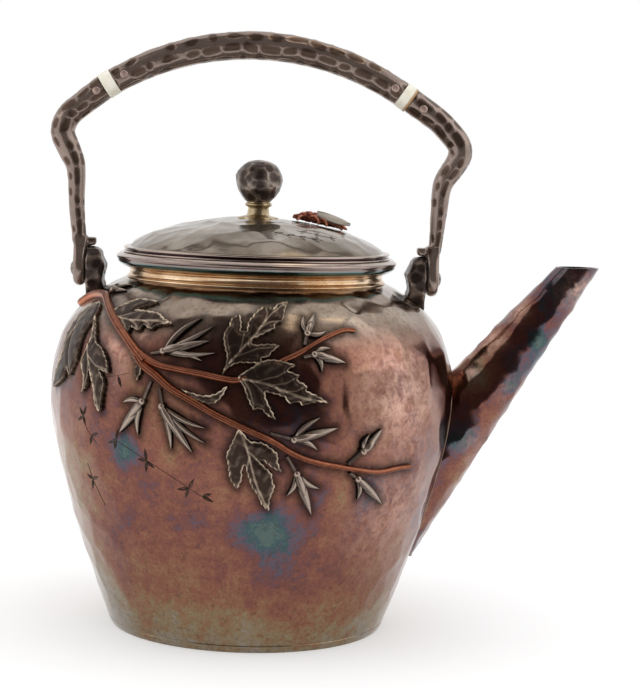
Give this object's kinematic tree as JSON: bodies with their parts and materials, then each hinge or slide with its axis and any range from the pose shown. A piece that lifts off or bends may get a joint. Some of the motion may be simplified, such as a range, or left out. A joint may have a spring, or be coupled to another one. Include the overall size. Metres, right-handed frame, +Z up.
{
  "type": "kettle with bail handle",
  "caption": "Round silver kettle with a domed lift-off lid and knob, a tapered spout, a swinging bail with two insulators, and an applied leafy vine with buds.",
  "frame": {"origin": "centre of the foot, on the surface that the kettle stands on", "axes": "+Z up, +X toward the spout, +Y to the plain back, with the vine on the -Y side"},
  "size_m": [0.2196, 0.1622, 0.2354],
  "materials": {
    "patinated_silver": "polished silver with a dark iridescent rose-brown patina",
    "grey_silver": "polished silver with a grey-olive tarnish",
    "dark_silver": "hammered silver with a dark warm patina",
    "bright_silver": "rubbed silver",
    "gilt_silver": "gilt, polished",
    "leaf_silver": "chased silver, dark in the hollows and bright on the edges",
    "bud_silver": "chased silver, rubbed bright",
    "copper": "copper, satin",
    "insulator": "ivory-white, smooth"
  },
  "bodies": {
    "kettle": {"body_shell": "patinated_silver", "base_plate": "patinated_silver", "neck_collar": "gilt_silver", "mouth_rim": "grey_silver", "spout": "patinated_silver", "ear_left": "dark_silver", "ear_right": "dark_silver", "hinge_pin_left": "dark_silver", "hinge_pin_right": "dark_silver", "vine_stem": "copper", "vine_branch_upper": "copper", "vine_branch_lower": "copper", "leaf_outer_left": "leaf_silver", "leaf_hanging_left": "leaf_silver", "leaf_shoulder": "leaf_silver", "leaf_bract": "leaf_silver", "leaf_top": "leaf_silver", "leaf_middle": "leaf_silver", "leaf_small": "leaf_silver", "leaf_low": "leaf_silver", "bud_shoulder": "bud_silver", "bud_upper_left": "bud_silver", "bud_hanging_left": "bud_silver", "bud_hanging_right": "bud_silver", "bud_middle": "bud_silver", "bud_low": "bud_silver", "bud_top_right": "bud_silver", "bud_upper_right": "bud_silver", "bud_tip_upper": "bud_silver", "bud_tip_lower": "bud_silver"},
    "lid": {"lid_dome": "grey_silver", "lid_ring": "grey_silver", "lid_bezel": "grey_silver", "finial_knob": "dark_silver", "finial_stem": "gilt_silver", "finial_stud": "grey_silver", "finial_nut": "grey_silver", "insect_body": "copper", "insect_legs": "copper", "insect_wings": "grey_silver"},
    "bail": {"bail_grip": "dark_silver", "bail_arm_left": "dark_silver", "bail_arm_right": "dark_silver", "insulator_left": "insulator", "insulator_right": "insulator", "cross_pins_left": "bright_silver", "cross_pins_right": "bright_silver"}
  },
  "joints": [
    {"name": "lid_lift", "type": "slide", "parent": "kettle", "child": "lid", "axis": [0, 0, 1], "range_m": [0, 0.036]},
    {"name": "bail_swing", "type": "hinge", "parent": "kettle", "child": "bail", "pos_m": [0, 0, 0.13991], "axis": [1, 0, 0], "range_deg": [-110, 105]}
  ]
}
